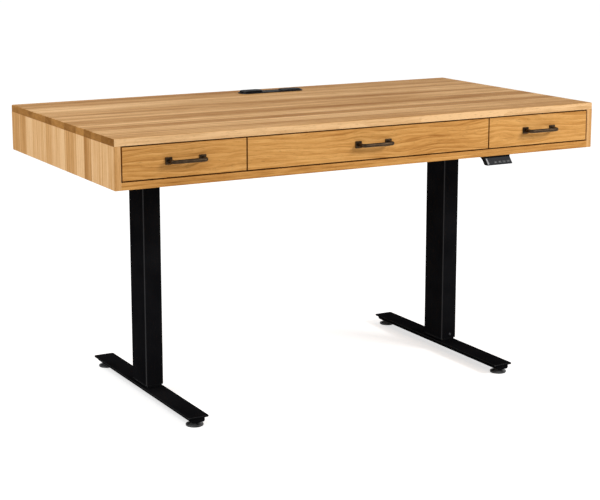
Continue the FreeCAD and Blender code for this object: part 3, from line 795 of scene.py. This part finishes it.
metals = {name: metal(name, *values) for name, *values in metal_table}
for drawer in drawer_names:
    dress(drawer + "_drawer_pull", metals["dark_bronze"])
    dress(drawer + "_drawer_runners", metals["zinc_steel"])
dress("case_slides", metals["zinc_steel"])
dress("drive_screws", metals["screw_steel"])
dress("hollow_screws", metals["screw_steel"])
print("metal finishes:", len(metals))

# %% [markdown]
# ## Drawer boxes
# The boxes are a paler hardwood, and their dovetails show end grain and long grain side by side at
# each corner. The oak function serves here too, with a ramp of pale tones and weaker rings. The
# bottoms are birch plywood, paler still and almost without pores, with its edges hidden in the
# grooves.

# %% Drawer box finishes
pale_ramp = (
    (0.0, swatch(190, 152, 106)),
    (1.0, swatch(238, 214, 176)),
    (0.5, swatch(222, 190, 146)),
)
ply_ramp = (
    (0.0, swatch(206, 174, 130)),
    (1.0, swatch(242, 222, 188)),
    (0.5, swatch(228, 202, 162)),
)
pale_end = (swatch(164, 120, 74), swatch(206, 166, 116))
box_board = {"drift": 0.3, "ring_share": 0.2, "pore_dark": 0.12}
ply_sheet = {"drift": 0.4, "ring_share": 0.35, "pore_dark": 0.06}
box_woods = {
    "sides": oak("box_side_wood", "YZX", pale_ramp, pale_end, plain_tone=0.55, **box_board),
    "back": oak("box_back_wood", "XZY", pale_ramp, pale_end, plain_tone=0.5, **box_board),
    "bottom": oak("birch_ply", "XYZ", ply_ramp, pale_end, plain_tone=0.55, **ply_sheet),
}
for drawer in drawer_names:
    for part, wood in box_woods.items():
        dress(drawer + "_drawer_" + part, wood)
print("drawer boxes dressed:", len(drawer_names))

# %% [markdown]
# ## Small pieces: turned heads
# Screw heads and key signs are too small for the solids, and they are what makes a model look made.
# A head is a ring of corners that is extruded upwards and inwards, ring by ring, and then down into
# its six-sided socket. Each profile lists its rings: a share of the radius, a share of the height,
# and whether the ring is six-sided.

# %% Turned heads
ring_corners = 24
socket_profile = (
    (1.0, 0.0, False),
    (1.0, 0.45, False),
    (0.93, 0.75, False),
    (0.78, 0.95, False),
    (0.62, 1.0, False),
    (0.5, 1.0, True),
    (0.5, 0.35, True),
)
hexagon_profile = (
    (1.25, 0.0, False),
    (1.25, 0.18, False),
    (1.02, 0.24, True),
    (1.0, 0.9, True),
    (0.86, 1.0, True),
)
disc_profile = ((1.0, 0.0, False), (1.0, 1.0, False))


def only(kind, geometry):
    return [item for item in geometry if isinstance(item, kind)]


def six_sided(angle):
    sector = math.pi / 3
    return math.cos(sector / 2) / math.cos((angle % sector) - sector / 2)


def turned(profile, radius, height):
    shape = bmesh.new()
    verts = bmesh.ops.create_circle(shape, cap_ends=False, segments=ring_corners, radius=1.0)["verts"]
    edges = list(shape.edges)
    for number, (out, up, hexagon) in enumerate(profile):
        if number:
            grown = bmesh.ops.extrude_edge_only(shape, edges=edges)["geom"]
            verts = only(bmesh.types.BMVert, grown)
            edges = only(bmesh.types.BMEdge, grown)
        for v in verts:
            angle = math.atan2(v.co.y, v.co.x)
            reach = radius * out * (six_sided(angle) if hexagon else 1.0)
            v.co = Vector((math.cos(angle) * reach, math.sin(angle) * reach, height * up))
    bmesh.ops.contextual_create(shape, geom=edges)
    return shape


print("rings of a socket head:", len(socket_profile))

# %% [markdown]
# ## Small pieces: plates
# A plate is one square face with its corners bevelled, extruded to its thickness. It serves for
# windows, strips, tongues and contacts, which differ only in size.

# %% Plates
corner_steps = 4


def thicken(shape, thick):
    grown = bmesh.ops.extrude_face_region(shape, geom=list(shape.faces))["geom"]
    bmesh.ops.translate(shape, vec=(0, 0, thick), verts=only(bmesh.types.BMVert, grown))
    return shape


def plate(width, height, thick, corner):
    shape = bmesh.new()
    bmesh.ops.create_grid(shape, x_segments=1, y_segments=1, size=0.5)
    bmesh.ops.scale(shape, vec=(width, height, 1), verts=shape.verts)
    bmesh.ops.bevel(
        shape,
        geom=list(shape.verts),
        offset=corner,
        affect="VERTICES",
        segments=corner_steps,
        profile=0.5,
        material=-1,
    )
    return thicken(shape, thick)


print("plates have", corner_steps, "steps at each corner")

# %% [markdown]
# ## Small pieces: placing and gathering
# Every piece is drawn flat at the origin and then moved: a screw is stood on its surface by turning
# its axis to look outwards. Several of one kind are gathered into one object that rides on the body
# that carries them, with smooth shading on its curves and sharp edges where its faces meet at an
# angle.

# %% Placing and gathering
sharp_angle = math.radians(32)


def put(shape, place):
    bmesh.ops.transform(shape, matrix=place, verts=shape.verts)
    return shape


def standing(point, outwards):
    turn = Vector((0, 0, 1)).rotation_difference(Vector(outwards)).to_matrix().to_4x4()
    return Matrix.Translation(Vector(point)) @ turn


def screw(profile, size, point, outwards):
    return put(turned(profile, *size), standing(point, outwards))


def gather(name, shapes, body, material):
    joined = bmesh.new()
    for shape in shapes:
        scrap = bpy.data.meshes.new("scrap")
        shape.to_mesh(scrap)
        shape.free()
        joined.from_mesh(scrap)
        bpy.data.meshes.remove(scrap)
    bmesh.ops.recalc_face_normals(joined, faces=joined.faces)
    mesh = bpy.data.meshes.new(name)
    joined.to_mesh(mesh)
    joined.free()
    mesh.shade_smooth()
    mesh.set_sharp_from_angle(angle=sharp_angle)
    made = new_object(name, mesh, material)
    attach(made, body)
    print(name, "rides on", body, "with", len(mesh.polygons), "faces")


print("placing and gathering ready")

# %% [markdown]
# ## Screws of the columns
# One small screw shows on a column, low on the front. Both columns are the same part, and the left
# one is turned half round, so its screw faces the back. Screws are given as a radius and a height,
# in metres.

# %% Column screws
column_screw = (0.0042, 0.0014)
column_screw_aside = 0.004
column_screw_up = 0.011

column_screws = []
for side, way in (("right", -1), ("left", 1)):
    low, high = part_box(side + "_outer_tube")
    face_y = low.y if way < 0 else high.y
    spot = ((low.x + high.x) / 2 - way * column_screw_aside, face_y, low.z + column_screw_up)
    column_screws.append(screw(socket_profile, column_screw, spot, (0, way, 0)))
gather("column_screws", column_screws, "desk", metals["black_screw"])

# %% [markdown]
# ## Screws under the case
# Under the case, the brackets are screwed to the oak and the rails are bolted to the column heads,
# where only someone on the floor sees them. The screws stand in pairs along each bracket, and a
# pair of bolts goes through the web of each rail.

# %% Bracket screws and rail bolts
down = (0, 0, -1)
bracket_screw = (0.0055, 0.0032)
bracket_thick = 0.004
bracket_rows = (0.13, 0.21, 0.29)
rail_bolt = (0.0058, 0.0055)
rail_web = 0.0025
pair_offsets = (-0.016, 0.016)

bracket_screws = []
rail_bolts = []
for side in sides:
    low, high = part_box(side + "_side_bracket")
    middle = (low + high) / 2
    for reach in bracket_rows:
        for way in (-1, 1):
            for offset in pair_offsets:
                spot = (middle.x + offset, middle.y + way * reach, high.z - bracket_thick)
                bracket_screws.append(screw(socket_profile, bracket_screw, spot, down))
    for end, way in (("front", -1), ("back", 1)):
        rail_low, rail_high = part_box(end + "_cross_rail")
        web_y = rail_high.y - rail_web if way < 0 else rail_low.y + rail_web
        for offset in pair_offsets:
            spot = (middle.x + offset, web_y, (rail_low.z + rail_high.z) / 2)
            rail_bolts.append(screw(hexagon_profile, rail_bolt, spot, (0, way, 0)))
gather("bracket_screws", bracket_screws, "desk", metals["black_screw"])
gather("rail_bolts", rail_bolts, "desk", metals["black_screw"])

# %% [markdown]
# ## Screws in the drawers
# Each pull is held by a screw from inside the drawer at each of its blocks, and each runner by four
# screws into the drawer's side. They show when the drawer is pulled out.

# %% Drawer screws
pull_half_centres = 0.048
pull_screw = (0.0046, 0.0022)
runner_screw = (0.0038, 0.0018)
runner_thick = 0.0015
runner_shares = (0.06, 0.35, 0.65, 0.94)

for drawer in drawer_names:
    front_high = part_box(drawer + "_drawer_front")[1]
    pull_low, pull_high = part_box(drawer + "_drawer_pull")
    pull_middle = (pull_low + pull_high) / 2
    heads = []
    for way in (-1, 1):
        spot = (pull_middle.x + way * pull_half_centres, front_high.y, pull_middle.z)
        heads.append(screw(socket_profile, pull_screw, spot, (0, 1, 0)))
    side_low, side_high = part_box(drawer + "_drawer_sides")
    run_low, run_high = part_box(drawer + "_drawer_runners")
    for wall_x, way in ((side_low.x, -1), (side_high.x, 1)):
        for share in runner_shares:
            along = run_low.y + share * (run_high.y - run_low.y)
            spot = (wall_x + way * runner_thick, along, (run_low.z + run_high.z) / 2)
            heads.append(screw(socket_profile, runner_screw, spot, (way, 0, 0)))
    gather(drawer + "_drawer_screws", heads, drawer + "_drawer", metals["screw_steel"])

# %% [markdown]
# ## Bars of the pulls
# The bars look fuller than their solids, so each gets a skin of its true thickness. A ring of
# corners is pushed along the bar's path: out from one block, round a bend, across, round the other
# bend and back. The skin's front stays level with the solid's, and it grows towards the drawer.

# %% Pull bars
pull_block_depth = 0.004
bar_radius = 0.0052
bar_bend = 0.008
bar_set_back = 0.00001
bend_steps = 8


def bar_path(front_y, back_y):
    corner = pull_half_centres - bar_bend
    path = [(-pull_half_centres, back_y, 0.0)]
    for way, first_turn in ((-1, 0.0), (1, math.pi / 2)):
        for step in range(bend_steps + 1):
            turn = first_turn + math.pi / 2 * step / bend_steps
            across = way * corner - bar_bend * math.cos(turn)
            path.append((across, front_y + bar_bend * (1 - math.sin(turn)), turn))
    path.append((pull_half_centres, back_y, math.pi))
    return path


def bent_bar(path):
    shape = bmesh.new()
    ring = bmesh.ops.create_circle(shape, cap_ends=False, segments=ring_corners, radius=bar_radius)["verts"]
    edges = list(shape.edges)
    last = Matrix.Identity(4)
    for number, (across, forward, turn) in enumerate(path):
        if number:
            grown = bmesh.ops.extrude_edge_only(shape, edges=edges)["geom"]
            ring = only(bmesh.types.BMVert, grown)
            edges = only(bmesh.types.BMEdge, grown)
        facing = Matrix.Rotation(turn, 4, "Z") @ Matrix.Rotation(math.pi / 2, 4, "X")
        place = Matrix.Translation((across, forward, 0)) @ facing
        bmesh.ops.transform(shape, matrix=place @ last.inverted(), verts=ring)
        last = place
    bmesh.ops.holes_fill(shape, edges=shape.edges)
    return shape


for drawer in drawer_names:
    pull_low, pull_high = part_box(drawer + "_drawer_pull")
    pull_middle = (pull_low + pull_high) / 2
    path = bar_path(pull_low.y + bar_radius + bar_set_back, pull_high.y - pull_block_depth / 2)
    skin = put(bent_bar(path), Matrix.Translation((pull_middle.x, 0, pull_middle.z)))
    gather(drawer + "_pull_bar", [skin], drawer + "_drawer", metals["dark_bronze"])

# %% [markdown]
# ## Handset
# The keypad leans back under the front edge. Its face has a dark window above and a row of keys below, and a
# pale strip, a painted highlight of the face's rounded left edge, closes its left end. The face's own matrix,
# worked out from the housing's place and lean, lets every piece be drawn flat first and then laid on the
# face. Plates are given as width, height, thickness and corner.

# %% Handset window and strip
handset_lean = math.radians(39.8)
handset_flange = 0.005
window_plate = (0.056, 0.0082, 0.0003, 0.0012)
window_across, window_up = 0.004, -0.0058
strip_plate = (0.0048, 0.0200, 0.0004, 0.0015)
strip_across, strip_up = -0.0400, -0.0113

housing_low, housing_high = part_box("handset_housing")
face_top = Vector(((housing_low.x + housing_high.x) / 2, case_front, housing_high.z - handset_flange))
face_turn = Matrix.Rotation(-handset_lean, 4, "X") @ Matrix.Rotation(math.pi / 2, 4, "X")
face_place = Matrix.Translation(face_top) @ face_turn


def on_face(across, up, proud=0.0):
    return face_place @ Matrix.Translation((across, up, proud))


window = put(plate(*window_plate), on_face(window_across, window_up))
gather("handset_window", [window], "desk", coats["handset_gloss"])
# painted highlight: the pale strip stands in for light caught on the face's rounded left edge
strip = put(plate(*strip_plate), on_face(strip_across, strip_up))
gather("handset_strip", [strip], "desk", coats["edge_highlight_grey"])

# %% [markdown]
# The signs on the keys are simple: an arrow up, an arrow down, and dots for the stored heights.
# Each sign rides on its own key, so that it sinks with it.

# %% Key signs
first_key, key_spacing = -0.014, 0.015
key_row = -0.0159
key_proud = 0.0009
sign_thick = 0.00012
arrow_radius = 0.0022
dot_radius = 0.0009
dot_aside = 0.0016


def arrow(turn):
    shape = bmesh.new()
    bmesh.ops.create_circle(shape, cap_ends=True, segments=3, radius=arrow_radius)
    thicken(shape, sign_thick)
    return put(shape, Matrix.Rotation(turn, 4, "Z"))


def dot():
    return turned(disc_profile, dot_radius, sign_thick)


signs = {
    "raise_key": [(arrow(0.0), 0.0)],
    "lower_key": [(arrow(math.pi), 0.0)],
    "preset_one_key": [(dot(), 0.0)],
    "preset_two_key": [(dot(), -dot_aside), (dot(), dot_aside)],
}
for number, key in enumerate(key_names):
    across = first_key + key_spacing * number
    marks = [put(shape, on_face(across + aside, key_row, key_proud)) for shape, aside in signs[key]]
    gather(key + "_sign", marks, key, coats["sign_grey"])

# %% [markdown]
# ## Contacts of the power unit
# A look into the sockets shows brass behind the slots of the outlets and a tongue in each data
# port. Each is a thin plate that stands inside its hole.

# %% Contacts in the sockets
block_half = 0.0355
tongue_plate = (0.0062, 0.0011, 0.0046, 0.0002)
port_spacing = 0.017
tongue_up = 0.0005
leaf_plate = (0.0008, 0.0062, 0.0022, 0.0001)
outlet_offsets = (-0.0185, 0.0185)
slot_aside, slot_back = 0.00635, 0.004
leaf_up = 0.003

socket_low, socket_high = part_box("power_sockets")
bezel_low, bezel_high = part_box("power_bezel")
power_y = (bezel_low.y + bezel_high.y) / 2
table_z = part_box("top_panel")[1].z
data_x = socket_high.x - block_half
mains_x = socket_low.x + block_half
tongues = []
for number in (-1, 0, 1):
    spot = (data_x + number * port_spacing, power_y, table_z + tongue_up)
    tongues.append(put(plate(*tongue_plate), Matrix.Translation(spot)))
gather("port_tongues", tongues, "desk", coats["key_grey"])
leaves = []
for outlet in outlet_offsets:
    for way in (-1, 1):
        spot = (mains_x + outlet + way * slot_aside, power_y + slot_back, table_z + leaf_up)
        leaves.append(put(plate(*leaf_plate), Matrix.Translation(spot)))
gather("outlet_contacts", leaves, "desk", metals["brass_contact"])

# %% [markdown]
# ## Pins of the control box
# The control box under the case has a power inlet in its back, with three pins in a triangle. Each
# pin is a small plate stood on end, which is all that shows of it.

# %% Inlet pins
pin_plate = (0.002, 0.0045, 0.0017, 0.0003)
inlet_from_end = 0.0585
pin_depth = 0.002
pin_places = ((-0.007, -0.002), (0.007, -0.002), (0.0, 0.0035))

box_low, box_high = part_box("control_box")
inlet_x = box_high.x - inlet_from_end
inlet_z = (box_low.z + box_high.z) / 2
pins = []
for across, up in pin_places:
    spot = (inlet_x + across, box_high.y - pin_depth, inlet_z + up)
    pins.append(put(plate(*pin_plate), standing(spot, (0, 1, 0))))
gather("inlet_pins", pins, "desk", metals["brass_contact"])

# %% [markdown]
# ## Finish
# The box that the dressed desk fills is measured and printed. The dressed desk must stay in the
# box of its solids.

# %% Finish
low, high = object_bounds()
print("dressed box, metres:", [round(v, 4) for v in low], [round(v, 4) for v in high])
